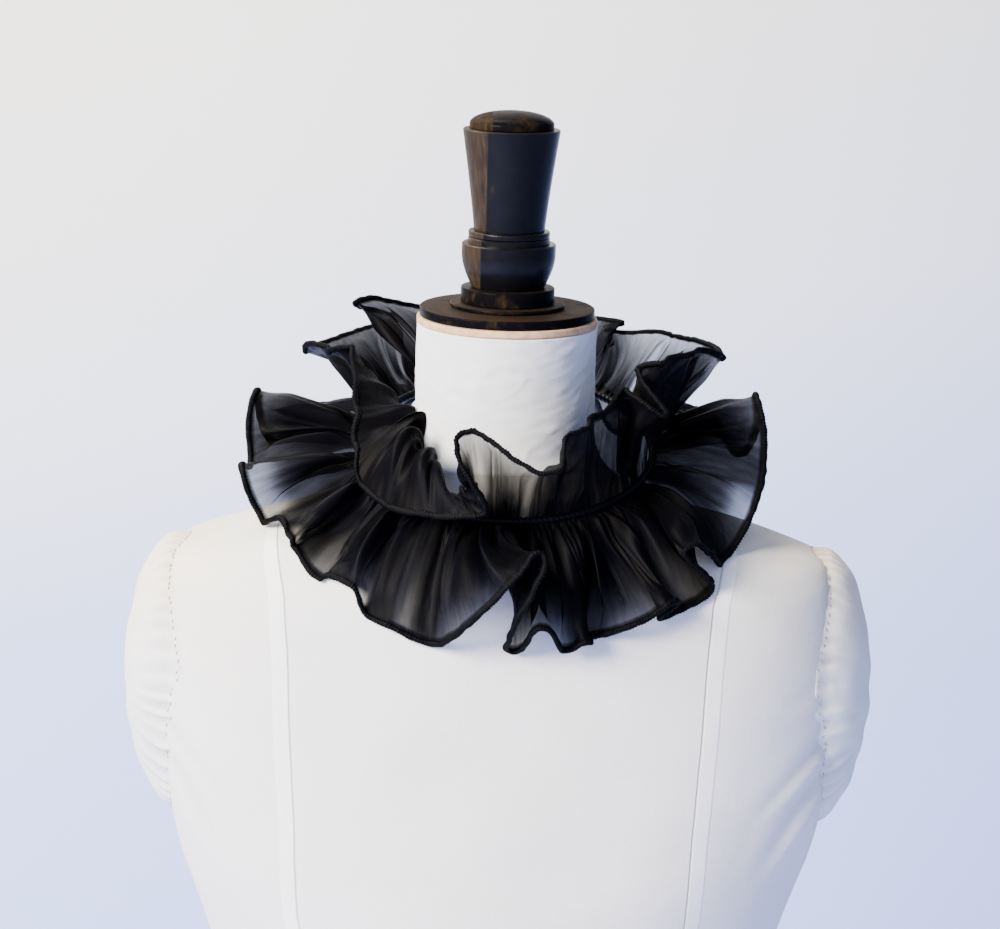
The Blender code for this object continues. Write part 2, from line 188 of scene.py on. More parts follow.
def gridMesh(name, points, material, slot, closed=False, merge=False, flat=None, paint=None):
    # vertex (row, column) is points[row, column], and each face joins four neighbours; a closed grid
    # meets itself sideways and has a face at each end. flat holds each vertex's place on the cut cloth,
    # and paint has named values for the material
    rows, columns = points.shape[:2]
    index = np.arange(rows * columns).reshape(rows, columns)
    ends = [index[0, ::-1].tolist(), index[-1].tolist()] if closed else []
    if closed:
        index = np.hstack([index, index[:, :1]])
    quads = np.stack([index[:-1, :-1], index[:-1, 1:], index[1:, 1:], index[1:, :-1]], axis=-1).reshape(-1, 4)
    mesh = newMesh(name, points, quads.tolist() + ends, material)
    for key, values in (paint or {}).items():
        layer = mesh.attributes.new(key, "FLOAT", "POINT")
        layer.data.foreach_set("value", np.broadcast_to(values, (rows, columns)).ravel().astype(np.float32))
    if flat is not None:
        layer = mesh.uv_layers.new(name="cloth")
        layer.data.foreach_set("uv", flat.reshape(-1, 2)[quads.ravel()].ravel().astype(np.float32))
    if merge:
        closeMesh(mesh)
    return addPiece(name, mesh)


# The dress form's own shape, which the collar also rests on

form = {
    "columns": ("height", "halfWidth", "front", "back", "squareness"),
    "levels": (
        (0.0123, 0.165, 0.103, 0.106, 2.2),
        (0.060, 0.171, 0.108, 0.114, 2.2),
        (0.120, 0.168, 0.108, 0.110, 2.2),
        (0.180, 0.148, 0.101, 0.093, 2.2),
        (0.235, 0.134, 0.097, 0.081, 2.1),
        (0.290, 0.145, 0.106, 0.082, 2.1),
        (0.345, 0.169, 0.118, 0.088, 2.1),
        (0.400, 0.189, 0.123, 0.095, 2.2),
        (0.450, 0.205, 0.118, 0.099, 2.3),
        (0.500, 0.213, 0.109, 0.100, 2.4),
        (0.550, 0.214, 0.101, 0.098, 2.4),
        (0.590, 0.210, 0.093, 0.094, 2.3),
        (0.606, 0.204, 0.087, 0.091, 2.2),
        (0.615, 0.192, 0.082, 0.088, 2.1),
        (0.624, 0.164, 0.077, 0.085, 2.1),
        (0.634, 0.130, 0.070, 0.081, 2.0),
        (0.645, 0.096, 0.063, 0.075, 2.0),
        (0.658, 0.070, 0.057, 0.066, 2.0),
        (0.674, 0.0570, 0.0545, 0.0575, 2.0),
        (0.694, 0.0535, 0.0535, 0.0535, 2.0),
        (0.7515, 0.0535, 0.0535, 0.0535, 2.0),
    ),
    "splineSteps": 24,
    "armholeX": 0.1985,       # the flat sides that the caps close
    "armholeRound": 0.0022,   # how softly the cloth turns at their edge
    "around": 420,
    "rings": 190,
}
formCurve = splineThrough(form["levels"], form["splineSteps"])
formTable = dict(zip(form["columns"], formCurve.T))


def formAt(heights):
    # half width, front, back and squareness of the form at each height
    return [np.interp(heights, formTable["height"], formTable[name]) for name in form["columns"][1:]]


def formPoints(heights, around):
    # a level is |x / halfWidth|^n + |y / depth|^n = 1, its sides cut off softly at the armholes
    half, front, back, power = formAt(heights[:, None])
    angle = np.linspace(0.0, fullTurn, around, endpoint=False)[None]
    sine, cosine = np.sin(angle), np.cos(angle)
    x = half * np.sign(sine) * np.abs(sine) ** (2.0 / power)
    y = -np.where(cosine > 0, front, back) * np.sign(cosine) * np.abs(cosine) ** (2.0 / power)
    soft = form["armholeRound"]
    x = np.sign(x) * -soft * np.logaddexp(-np.abs(x) / soft, -form["armholeX"] / soft)
    return np.stack(np.broadcast_arrays(x, y, heights[:, None]), axis=-1)


def outsideForm(points):
    # 0 on the form's skin, and above it the share of its width that a point lies outside
    half, front, back, power = formAt(points[..., 2])
    depth = np.where(points[..., 1] < 0, front, back)
    total = np.abs(points[..., 0] / half) ** power + np.abs(points[..., 1] / depth) ** power
    return total ** (1.0 / power) - 1.0


def clearOfForm(points, gap, rounds=6, step=0.0005):
    # cloth that would sink into the form is moved out along the slope of outsideForm
    moved = points.copy()
    for _ in range(rounds):
        here = outsideForm(moved)
        slope = np.stack([outsideForm(moved + step * axis) - here for axis in np.eye(3)], axis=-1) / step
        steepness = np.linalg.norm(slope, axis=-1)
        short = np.maximum(gap - here / steepness, 0.0)
        moved += (short / steepness)[..., None] * slope
    return moved


# Materials

threadWaves = 6981.0  # radians of pattern for each metre, which draws threads 0.9 mm apart


def weaveGrid(tree, place, second, operation):
    # two crossing sets of threads: a sine along X and one along the second axis
    scaled = addNode(tree, "Mapping", {"Vector": place, "Scale": (threadWaves,) * 3})
    axes = addNode(tree, "SeparateXYZ", {"Vector": scaled})
    warp = addNode(tree, "Math", {0: axes.outputs["X"]}, operation="SINE")
    weft = addNode(tree, "Math", {0: axes.outputs[second]}, operation="SINE")
    return addNode(tree, "Math", {0: warp, 1: weft}, operation=operation)


def organzaMaterial():
    # Black silk organza, an open plain weave of hard-twisted yarn: one layer is smoky, two nearly black,
    # and where it is gathered, creased or folded in at the hem hardly any light comes through.
    material, tree, shader = newMaterial(
        "black silk organza", Roughness=0.5, Specular_IOR_Level=0.03,
        Sheen_Weight=0.008, Sheen_Roughness=0.35, Sheen_Tint=linearColour("#C4C8E6"))
    cloth = addNode(tree, "UVMap", uv_map="cloth")
    layers = addNode(tree, "Attribute", attribute_name="layers")
    # slubs and cloudiness in the weave, stretched along the warp
    long = addNode(tree, "Mapping", {"Vector": cloth, "Scale": (260.0, 45.0, 1.0)})
    slub = addNode(tree, "TexNoise", {"Vector": long, "Scale": 1.0, "Detail": 3.0})
    wide = addNode(tree, "Mapping", {"Vector": cloth, "Scale": (30.0, 22.0, 1.0)})
    cloud = addNode(tree, "TexNoise", {"Vector": wide, "Scale": 1.0, "Detail": 2.0})
    # the yarns lie 0.25 mm apart, too fine to show, so the weave is drawn every 0.9 mm
    grid = weaveGrid(tree, cloth, "Y", "ADD")
    # one layer lets about a third of the light through, and n layers a third to the power n
    openings = addNode(tree, "MapRange", {
        "Value": slub, "From Min": 0.3, "From Max": 0.7, "To Min": 0.28, "To Max": 0.36})
    woven = addNode(tree, "Math", {0: grid, 1: 0.03, 2: openings}, operation="MULTIPLY_ADD")
    through = addNode(tree, "Math", {0: woven, 1: layers.outputs["Fac"]}, operation="POWER")
    cover = addNode(tree, "Math", {0: 1.0, 1: through}, operation="SUBTRACT", use_clamp=True)
    feed(tree, shader, {"Alpha": cover})
    tint = addNode(tree, "ValToRGB", {"Fac": cloud}, ((0.35, "#020206"), (0.65, "#040303")))
    setSurface(tree, shader, tint, grid, 0.12, 0.0002)
    return material


def seamMarks(tree, attribute, width):
    # from the distance d to a seam: the line where |d| is under 0.6 mm, the band where 0 < d < width
    distance = addNode(tree, "Attribute", attribute_name=attribute).outputs["Fac"]
    size = addNode(tree, "Math", {0: distance}, operation="ABSOLUTE")
    line = addNode(tree, "MapRange", {
        "Value": size, "From Min": 0.0002, "From Max": 0.0008, "To Min": 1.0, "To Max": 0.0})
    start = addNode(tree, "MapRange", {"Value": distance, "From Min": 0.0003, "From Max": 0.0011})
    end = addNode(tree, "MapRange", {
        "Value": distance, "From Min": width, "From Max": width + 0.0012, "To Min": 1.0, "To Max": 0.0})
    return line, addNode(tree, "Math", {0: start, 1: end}, operation="MULTIPLY")


def calicoMaterial(name, clean, aged, weaveStrength):
    # Unbleached cotton calico, a close plain weave pulled tight: matt, a little slubby,
    # lighter where a seam's turnings lie under it, yellower where glue and age have stained it,
    # and grey with painted shade in its creases and hollows.
    material, tree, shader = newMaterial(name, Roughness=0.92, Specular_IOR_Level=0.15, Sheen_Weight=0.06)
    place = addNode(tree, "TexCoord").outputs["Object"]
    age = addNode(tree, "Attribute", attribute_name="age")
    stain = addNode(tree, "TexNoise", {"Vector": place, "Scale": 14.0, "Detail": 5.0, "Roughness": 0.6})
    slub = addNode(tree, "TexNoise", {"Vector": place, "Scale": 420.0, "Detail": 2.0})
    mixed = addNode(tree, "Math", {0: stain, 1: 0.5, 2: -0.22}, operation="MULTIPLY_ADD")
    mixed = addNode(tree, "Math", {0: mixed, 1: age.outputs["Fac"]}, operation="ADD", use_clamp=True)
    colour = addNode(tree, "ValToRGB", {"Fac": mixed}, ((0.0, clean), (1.0, aged)))
    # the sewn seams at the front, side and back, and the one down the middle of the back
    line, band = seamMarks(tree, "seamDistance", 0.0095)
    backLine, backBand = seamMarks(tree, "backDistance", 0.0075)
    line = addNode(tree, "Math", {0: line, 1: backLine}, operation="MAXIMUM")
    band = addNode(tree, "Math", {0: band, 1: backBand}, operation="MAXIMUM")
    creaseShade = addNode(tree, "Attribute", attribute_name="creaseShade")
    # the turnings show pale through the cloth, the sewn line is dark, and painted shade greys the creases and
    # hollows
    for mark, share, hexText in (
        (band, 0.75, "#F6F3EC"), (line, 0.62, "#948E88"), (creaseShade.outputs["Fac"], 0.6, "#85848E"),
    ):
        shown = addNode(tree, "Math", {0: mark, 1: share}, operation="MULTIPLY", use_clamp=True)
        colour = addNode(tree, "Mix", {"Factor": shown, "A": colour, "B": linearColour(hexText)},
                         data_type="RGBA")
    speck = addNode(tree, "MapRange", {
        "Value": slub, "From Min": 0.3, "From Max": 0.75, "To Min": 0.965, "To Max": 1.02})
    shade = addNode(tree, "VectorMath", {0: colour, "Scale": speck}, operation="SCALE")
    # the threads are drawn 0.9 mm apart, as the real ones, about 0.45 mm apart, would not show
    grid = weaveGrid(tree, place, "Z", "MULTIPLY")
    height = addNode(tree, "Math", {0: slub, 1: 2.0, 2: grid}, operation="MULTIPLY_ADD")
    weave = addNode(tree, "Bump", {"Height": height, "Strength": weaveStrength, "Distance": 0.0002})
    relief = addNode(tree, "Math", {0: line, 1: -1.6, 2: band}, operation="MULTIPLY_ADD")
    setSurface(tree, shader, shade, relief, 0.55, 0.0005, weave)
    return material


def woodMaterial(name, worn, grey, gloss):
    # Ebonised beech under dark shellac: blue-black with a soft gloss, dull brown in worn spots and in a
    # straight-edged band on its left side that is wear and painted reflection, and dusty on its flat tops.
    material, tree, shader = newMaterial(
        name, Specular_IOR_Level=gloss, Coat_Weight=0.55 * gloss, Coat_Roughness=0.08)
    place = addNode(tree, "TexCoord").outputs["Object"]
    grainWay = addNode(tree, "Mapping", {"Vector": place, "Scale": (520.0, 520.0, 34.0)})
    grain = addNode(tree, "TexNoise", {"Vector": grainWay, "Scale": 1.0, "Detail": 4.0})
    patch = addNode(tree, "TexNoise", {"Vector": place, "Scale": 75.0, "Detail": 5.0, "Roughness": 0.65})
    wearAndReflection = addNode(tree, "Attribute", attribute_name="wearAndReflection").outputs["Fac"]
    flatTop = addNode(tree, "Attribute", attribute_name="dusty").outputs["Fac"]
    dark = addNode(tree, "ValToRGB", {"Fac": patch}, (
        (0.30, "#050507"), (0.62, "#09080A"), (0.80, "#150F0B")))
    brown = addNode(tree, "ValToRGB", {"Fac": grain}, (
        (0.30, "#140F09"), (0.50, "#22190F"), (0.72, "#302516")))
    # the band of worn varnish and painted reflection has a straight edge at distance 0, with a few dark
    # patches left inside it
    strip = addNode(tree, "MapRange", {"Value": wearAndReflection, "From Min": -0.0002, "From Max": 0.0005})
    left = addNode(tree, "MapRange", {
        "Value": patch, "From Min": 0.60, "From Max": 0.72, "To Min": 1.0, "To Max": 0.25})
    inside = addNode(tree, "Math", {0: strip, 1: left}, operation="MULTIPLY")
    spots = addNode(tree, "MapRange", {
        "Value": patch, "From Min": 0.66 - 0.14 * worn, "From Max": 0.80 - 0.14 * worn,
        "To Min": 0.0, "To Max": 0.35 + 0.5 * worn})
    amount = addNode(tree, "Math", {0: inside, 1: spots}, operation="MAXIMUM")
    colour = addNode(tree, "Mix", {"Factor": amount, "A": dark, "B": brown}, data_type="RGBA")
    dust = addNode(tree, "Math", {0: flatTop, 1: grey}, operation="MULTIPLY")
    colour = addNode(tree, "Mix", {"Factor": dust, "A": colour, "B": linearColour("#2A2018")},
                     data_type="RGBA")
    rough = addNode(tree, "MapRange", {"Value": amount, "To Min": 0.32, "To Max": 0.6})
    rough = addNode(tree, "Math", {0: dust, 1: 0.4, 2: rough}, operation="MULTIPLY_ADD", use_clamp=True)
    feed(tree, shader, {"Roughness": rough})
    setSurface(tree, shader, colour, grain, 0.12, 0.0003)
    return material


def mottledMaterial(name, low, high, scale, bump=0.2, depth=0.0004, detail=4.0, **shaderInputs):
    # a surface mottled between two colours, with a low bump in the same pattern
    material, tree, shader = newMaterial(name, **shaderInputs)
    place = addNode(tree, "TexCoord")
    noise = addNode(tree, "TexNoise", {"Vector": place.outputs["Object"], "Scale": scale, "Detail": detail})
    colour = addNode(tree, "ValToRGB", {"Fac": noise}, ((0.3, low), (0.7, high)))
    setSurface(tree, shader, colour, noise, bump, depth)
    return material


organza = organzaMaterial()
# overlock thread, a fluffy polyester: deep black with a faint soft shine on each turn
thread = mottledMaterial("black overlock thread", "#010102", "#040405", 1800.0, bump=0.4, depth=0.0002,
                         detail=2.0, Roughness=0.6, Specular_IOR_Level=0.05)
# narrow satin ribbon: long floats along its length give it a bluish gleam
ribbon = mottledMaterial("black satin ribbon", "#020203", "#04060A", 900.0, bump=0.25, depth=0.0003,
                         detail=2.0, Roughness=0.36, Specular_IOR_Level=0.06, Sheen_Weight=0.015,
                         Sheen_Roughness=0.3, Sheen_Tint=linearColour("#9FB4D8"))
calico = calicoMaterial("aged ivory calico", "#E3E0DA", "#D8C9A8", 0.35)
neckCloth = calicoMaterial("bleached cotton calico", "#DCDCDC", "#CDC8BC", 0.5)
# waxed linen, darkened with handling
linenThread = mottledMaterial("waxed linen thread", "#6E6254", "#9A8E7E", 700.0, bump=0.0, detail=2.0,
                              Roughness=0.7)
knobWood = woodMaterial("ebonised beech knob", 0.1, 0.6, 0.09)
discWood = woodMaterial("dull ebonised beech", 0.9, 0.75, 0.012)
# gummed paper, matt and a little blotched
tapePaper = mottledMaterial("tan gummed tape", "#A9845F", "#C9A37B", 160.0, Roughness=0.8)
# japanned steel wire: smooth black enamel
japanned = mottledMaterial("black japanned wire", "#0A0A0B", "#17171A", 900.0, Roughness=0.35, Metallic=0.6)
# sawn deal, pale brown and matt
boardWood = mottledMaterial("plain deal board", "#7A5A3A", "#A2805A", 40.0, Roughness=0.7)
print("materials made")


# The ruffled collar

collar = {
    "ringX": 0.003,
    "ringY": 0.010,
    "ringZ": 0.6735,
    "halfWidth": 0.088,
    "halfDepth": 0.080,
    "rise": 0.0265,
    "stripWidth": 0.078,      # from the ribbon to one hem
    "start": 0.0021,          # the cloth comes out from under the ribbon here
    "levelSpread": 0.05,
    "growth": 0.8,
    "turnDrop": 0.16,
    "turnSlip": 0.25,
    "columns": 1500,
    "rows": 42,
    "rowSpacing": 1.15,       # above 1 the rows lie closer near the ribbon
    "rest": 0.0017,           # the middle of the cloth stays this far off the form
    "gathers": 128,           # small pleats caught by the gathering thread
    "gatherFull": 0.08,
    "gatherFade": 0.24,
    "drapes": 30,             # wider soft folds between the pleats and the hem's own waves
    "drapeShare": 0.8,
    "creaseSize": 0.020,
    "creaseDepth": 0.0003,
    "flutterSize": 0.0085,
    "flutterDepth": 0.00025,
    "turning": 0.0032,        # the hem's folded-in edge
    "turningSlope": 0.0006,
    "creasedBends": (140.0, 600.0),  # radians of turn for each metre, from none to a full crease
    "rollMiddle": -78,        # the front left panel rolls in towards the neck about this gather
    "rollWidth": 26,
}
# Each fold of a hem: gather and azimuth in degrees, half width and lift in degrees, reach and bow in mm.
upperFolds = (
    (-178, -178, 3, 21, 77, 3),
    (-162, -154, 4, 28, 76, 4),
    (-148, -124, 4, 42, 75, 4),
    (-136, -160, 4, 26, 77, 3),
    (-123, -128, 4, 19, 76, 0),
    (-108, -98, 3, 56, 52, 2),
    (-96, -62, 3, 80, 56, 8),
    (-81, -62, 2, 82, 50, 16),
    (-68, -76, 2, 76, 38, 26),
    (-57, -80, 2, 54, 28, 36),
    (-47, -76, 2, 14, 22, 38),
    (-37, -50, 2, 2, 20, 38),
    (-28, -4, 3, 8, 26, 28),
    (-19, 16, 3, 14, 38, 12),
    (-10, -11, 4, 58, 72, 6),
    (8, 9, 3, 36, 72, 6),
    (24, 7, 3, 60, 68, 4),
    (36, 2, 3, 84, 58, 6),
    (50, 14, 3, 92, 64, 6),
    (57, 44, 2, 64, 54, 8),
    (63, 20, 3, 98, 68, 4),
    (74, 34, 4, 80, 70, 4),
    (90, 60, 6, 68, 70, 4),
    (108, 103, 4, 42, 65, 0),
    (130, 150, 5, 27, 78, 3),
    (142, 168, 3, 20, 80, 3),
    (154, 158, 3, 24, 78, 3),
    (178, 178, 3, 20, 77, 3),
)
lowerFolds = (
    (-178, -178, 3, -22, 76, 4),
    (-164, -165, 7, -6, 78, 4),
    (-148, -147, 7, -34, 76, 4),
    (-130, -130, 8, -12, 78, 4),
    (-114, -114, 6, -20, 76, 4),
    (-98, -96, 6, 18, 73, 4),
    (-88, -90, 4, -11, 71, 4),
    (-80, -82, 4, -5, 75, 4),
    (-72, -80, 3, -28, 72, 4),
    (-65, -66, 4, -22, 63, 4),
    (-62, -59, 2, -27, 65, 4),
    (-59, -63, 2, -35, 66, 4),
    (-52, -54, 4, -44, 70, 4),
    (-44, -44, 9, -39, 65, 4),
    (-33, -36, 5, -54, 74, 4),
    (-20, -17, 8, -62, 77, 4),
    (-2, 17, 2, 0, 70, 4),
    (2, 2, -3, -42, 74, 4),
    (5, -3, 4, -66, 76, 4),
    (9, 8, 4, -40, 74, 4),
    (14, 19, 3, -57, 79, 4),
    (18, 25, 2, -51, 78, 4),
    (21, 20, -3, -62, 74, 4),
    (25, 18, 4, -69, 71, 4),
    (32, 34, 3, -45, 76, 4),
    (38, 45, 3, -36, 75, 4),
    (43, 41, 3, -50, 76, 4),
    (50, 54, 5, -42, 78, 4),
    (57, 32, 4, -15, 68, 4),
    (65, 58, 3, -38, 70, 4),
    (80, 74, 4, -9, 68, 4),
    (88, 84, 3, -5, 68, 4),
    (99, 92, 6, 24, 70, 4),
    (114, 114, 6, -20, 76, 4),
    (132, 132, 8, -10, 78, 4),
    (150, 150, 7, -33, 76, 4),
    (166, 166, 6, -6, 78, 4),
    (178, 178, 3, -22, 76, 4),
)
# Where the strip is folded over on itself: gather and half width in degrees, how many layers more, and
# how far out it ends, as a share of the strip's width.
upperCover = (
    (-152, 9, 1.5, 1.4),
    (-131, 7, 1.8, 1.4),
    (-115, 6, 0.5, 1.2),
    (-98, 8, 1.4, 1.4),
    (-58, 24, 2.2, 1.4),
    (-27, 8, 1.4, 1.4),
    (18, 6, 1.4, 1.4),
    (42, 18, 2.4, 1.4),
    (61, 5, 1.8, 1.4),
    (79, 18, 1.8, 1.4),
    (149, 10, 2.2, 1.4),
)
lowerCover = (
    (-88, 7, 2.2, 1.4),
    (-74, 7, 1.5, 0.85),
    (-66, 4, 1.2, 1.2),
    (-57, 3, 1.2, 1.1),
    (-45, 4, 1.9, 1.3),
    (-33, 3, 1.7, 1.2),
    (-22, 3, 1.6, 1.1),
    (-13, 2, 1.2, 0.9),
    (-5, 4, 1.7, 1.1),
    (19, 4, 2.2, 1.4),
    (38, 2.5, 1.8, 1.4),
    (60, 9, 2.4, 1.4),
    (74, 6, 1.7, 0.85),
    (86, 8, 2.4, 1.4),
)
frills = {
    "upperFrill": {
        "node": "upper_frill",
        "folds": upperFolds,
        "cover": upperCover,
        "seed": 11,
        "density": 0.95,
        "roll": 0.009,        # how far its front left panel bows out in its roll
        "restsOn": ["gatherRibbon"],
    },
    "lowerFrill": {
        "node": "lower_frill",
        "folds": lowerFolds,
        "cover": lowerCover,
        "seed": 23,
        "density": 1.15,
        "roll": 0.0,
        "restsOn": ["gatherRibbon", "torsoCover"],
    },
}


def ringPoint(angle):
    # the gather line: an oval round the neck, tilted so that its front hangs lower
    return np.stack([
        collar["ringX"] + collar["halfWidth"] * np.sin(angle),
        collar["ringY"] - collar["halfDepth"] * np.cos(angle),
        collar["ringZ"] - collar["rise"] * np.cos(angle),
    ], axis=-1)


def pointing(azimuth, lift):
    # the unit direction at an azimuth round the neck and a lift above level
    return np.stack([np.cos(lift) * np.sin(azimuth), -np.cos(lift) * np.cos(azimuth), np.sin(lift)], axis=-1)


def lengthAlong(path):
    # the running sum of the path's steps
    return np.r_[0.0, np.cumsum(np.linalg.norm(np.diff(path, axis=0), axis=1))]


def turnRows(folds):
    # three rows for each fold: its middle, and its two sides half a width away, which lean a little
    # towards the next fold, so that each turn of the hem is round
    fold = np.asarray(folds, float)
    here = np.repeat(np.arange(len(fold)), 3)
    side = np.tile([-1, 0, 1], len(fold))
    there = here + side
    inside = (there >= 0) & (there < len(fold))
    here, side, there = here[inside], side[inside], there[inside]
    drop = collar["turnDrop"]
    lean = np.array([collar["turnSlip"], 0, 0, drop, drop, drop])
    rows = fold[here] + lean * np.abs(side)[:, None] * (fold[there] - fold[here])
    rows[:, 1] = fold[here, 1] + side * fold[here, 2]
    return np.delete(rows, 2, axis=1)


def meanAlong(values, along, spread):
    # Gaussian mean over the strip's length, worked on a coarse copy whose ends are mirrored
    coarse = np.linspace(0.0, along[-1], 260)
    seen = np.interp(coarse, along, values)
    mirror = np.r_[-coarse[::-1][:-1], coarse, 2 * coarse[-1] - coarse[::-1][1:]]
    wide = np.r_[2 * seen[0] - seen[::-1][:-1], seen, 2 * seen[-1] - seen[::-1][1:]]
    weight = np.exp(-0.5 * ((coarse[:, None] - mirror[None, :]) / spread) ** 2)
    return np.interp(along, coarse, (weight * wide).sum(axis=1) / weight.sum(axis=1))


def smallFolds(along, out, drawn, seed):
    # Small pleats take up the spare cloth at the gathering thread and die away outwards at uneven
    # lengths: n waves in a strip of length L that is drawn up to the share f of it have the depth
    # L / (pi n) * sqrt(f (1 - f)). Wider drapes lie between them and the hem, and further out the
    # crisp cloth has a faint flutter and crumple.
    share = along / along[-1]
    line = along[:, None]
    taken = np.clip(drawn, 0.0, 1.0)
    spare = along[-1] / math.pi * np.sqrt(taken * (1.0 - taken))
    phase = fullTurn * collar["gathers"] * share + 1.6 * softNoise(line, 0.045, seed)
    fade = collar["gatherFade"] * (1.0 + 0.45 * softNoise(line, 0.03, seed + 1))
    depth = spare / collar["gathers"] * np.minimum(out / collar["gatherFull"], 1.0)
    pleats = depth * np.exp(-(out / np.maximum(fade, 0.1)) ** 2) * np.sin(phase)
    phase = fullTurn * collar["drapes"] * share + 1.9 * softNoise(line, 0.09, seed + 4)
    depth = collar["drapeShare"] * spare / collar["drapes"]
    drapes = depth * smoothStep(out, 0.03, 0.3) * smoothStep(-out, -1.0, -0.7) * np.sin(phase)
    flat = np.stack(np.broadcast_arrays(along[None], 0.35 * collar["stripWidth"] * out), axis=-1)
    creases = softNoise(flat, collar["creaseSize"], seed + 2) * smoothStep(out, 0.15, 0.6)
    flutter = softNoise(flat, collar["flutterSize"], seed + 3) * smoothStep(out, 0.8, 1.0)
    return pleats + drapes + collar["creaseDepth"] * creases + collar["flutterDepth"] * flutter


def frillPoints(frill):
    # Each thread of the strip leaves the ribbon and reaches out in its own direction, arched a little.
    # The direction grows from the strip's mean level at the ribbon to the fold's own at the hem:
    # point = ring + reach * out * direction(out) + (arch + creases) * normal
    turns = turnRows(frill["folds"])
    steps = form["splineSteps"]
    curve = splineThrough(turns, steps)
    gather = np.radians(np.interp(np.arange(len(curve)) / steps, np.arange(len(turns)), turns[:, 0]))
    azimuth, lift = np.radians(curve[:, 1]), np.radians(curve[:, 2])
    reach, bow = 0.001 * curve[:, 3], 0.001 * curve[:, 4]
    length = lengthAlong(ringPoint(gather) + reach[:, None] * pointing(azimuth, lift))
    along = np.linspace(0.0, length[-1], collar["columns"])
    gather, azimuth, lift, reach, bow = (
        np.interp(along, length, column) for column in (gather, azimuth, lift, reach, bow)
    )
    level = meanAlong(lift, along, collar["levelSpread"])
    out = (np.linspace(0.0, 1.0, collar["rows"]) ** collar["rowSpacing"])[:, None]
    grow = out ** collar["growth"]
    turn = gather + (azimuth - gather) * grow
    rise = level + (lift - level) * grow
    leaving = pointing(turn, rise + np.arctan2(4.0 * bow, reach))
    points = ringPoint(gather)[None] + (collar["start"] * (1.0 - out))[..., None] * leaving
    points = points + (reach * out)[..., None] * pointing(turn, rise)
    roll = (np.degrees(gather) - collar["rollMiddle"]) / collar["rollWidth"]
    bow = bow + frill["roll"] * np.exp(-(roll**4))
    arch = 4.0 * bow * out * (1.0 - out)
    points = points + arch[..., None] * pointing(turn, rise + 0.5 * math.pi)
    drawn = np.linalg.norm(np.gradient(points, axis=1), axis=-1) / (along[1] - along[0])
    points = points + smallFolds(along, out, drawn, frill["seed"])[..., None] * normalsOf(points)
    return clearOfForm(points, collar["rest"]), along, out, reach, drawn, gather


def bendOf(points, normal):
    # how sharply the cloth bends along the strip: the turn of its normal per metre
    turn, step = (np.linalg.norm(np.gradient(rows, axis=1), axis=-1) for rows in (normal, points))
    return turn / np.maximum(step, 1e-5)


def doubled(cover, gather, out):
    # the sum of flat-topped humps over the gather angle, each fading at its own end
    total = 0.0
    for middle, halfWidth, more, end in np.asarray(cover, float):
        off = (np.degrees(gather)[None] - middle) / halfWidth
        total = total + more * np.exp(-(off**4)) * smoothStep(-out, -end, 0.25 - end)
    return total


def sheetArea(points):
    # half the cross product of each cell's diagonals
    first = points[1:, 1:] - points[:-1, :-1]
    second = points[1:, :-1] - points[:-1, 1:]
    return float(np.linalg.norm(np.cross(first, second), axis=-1).sum() / 2.0)


hem = {
    "halfWidth": 0.0019,
    "halfThickness": 0.0015,
    "stitch": 0.0019,         # one turn of the overlock thread
    "swell": 0.17,
    "unevenness": 0.08,
    "endSize": 0.35,
    "samples": 4,             # rings for each stitch
    "around": 10,
}


def hemPoints(edge, outwards, normal):
    # an oval cord along the cloth's edge, its radius swelling once for each slanting stitch
    length = lengthAlong(edge)
    count = int(length[-1] / hem["stitch"]) * hem["samples"]
    even = np.linspace(0.0, length[-1], count)
    path, side, up = (
        np.stack([np.interp(even, length, column) for column in rows.T], axis=-1)
        for rows in (edge, outwards, normal)
    )
    angle = np.linspace(0.0, fullTurn, hem["around"], endpoint=False)
    swell = 1.0 + hem["swell"] * np.cos(fullTurn * even[:, None] / hem["stitch"] + angle[None])
    swell *= 1.0 + hem["unevenness"] * softNoise(even[:, None], 0.012, 9)[:, None]
    swell[[0, -1]] *= hem["endSize"]
    return tubePoints(path, side, up, hem["halfWidth"] * swell, hem["halfThickness"] * swell, hem["around"])


def makeFrill(name, frill):
    # cloth drawn up to a share f of its length lies 1 / f layers deep, and it is seen slantwise in its
    # pleats; creases, the hem's turning and the folded-over parts add their own layers
    points, along, out, reach, drawn, gather = frillPoints(frill)
    normal = normalsOf(points)
    streak = softNoise(along[:, None], 0.006, frill["seed"] + 6)[None, :] * (1.0 - 0.7 * out)
    creased = smoothStep(bendOf(points, normal), *collar["creasedBends"])
    inner = reach - collar["turning"]
    turned = smoothStep(out * reach, inner - collar["turningSlope"], inner)
    layers = frill["density"] * np.clip(drawn, 0.2, 1.0) ** -1.7 * (1.0 + 0.07 * streak)
    layers = layers + 0.8 * creased + 2.0 * turned + doubled(frill["cover"], gather, out)
    flat = np.stack(np.broadcast_arrays(along[None], collar["stripWidth"] * out), axis=-1)
    cloth = gridMesh(name, points, organza, "organza", flat=flat, paint={"layers": np.maximum(layers, 0.9)})
    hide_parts(frill["node"])
    cord = hemPoints(points[-1], unit(points[-1] - points[-2]), normal[-1])
    edge = gridMesh(name + "Hem", cord, thread, "organza", closed=True, merge=True)
    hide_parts(frill["node"])
    print(name, "strip", round(along[-1], 3), "m, surface", round(sheetArea(points), 4), "m2")


ribbonCord = {"end": 176.5, "radius": 0.0024, "swell": 0.09, "endSize": 0.4, "samples": 900, "around": 18}


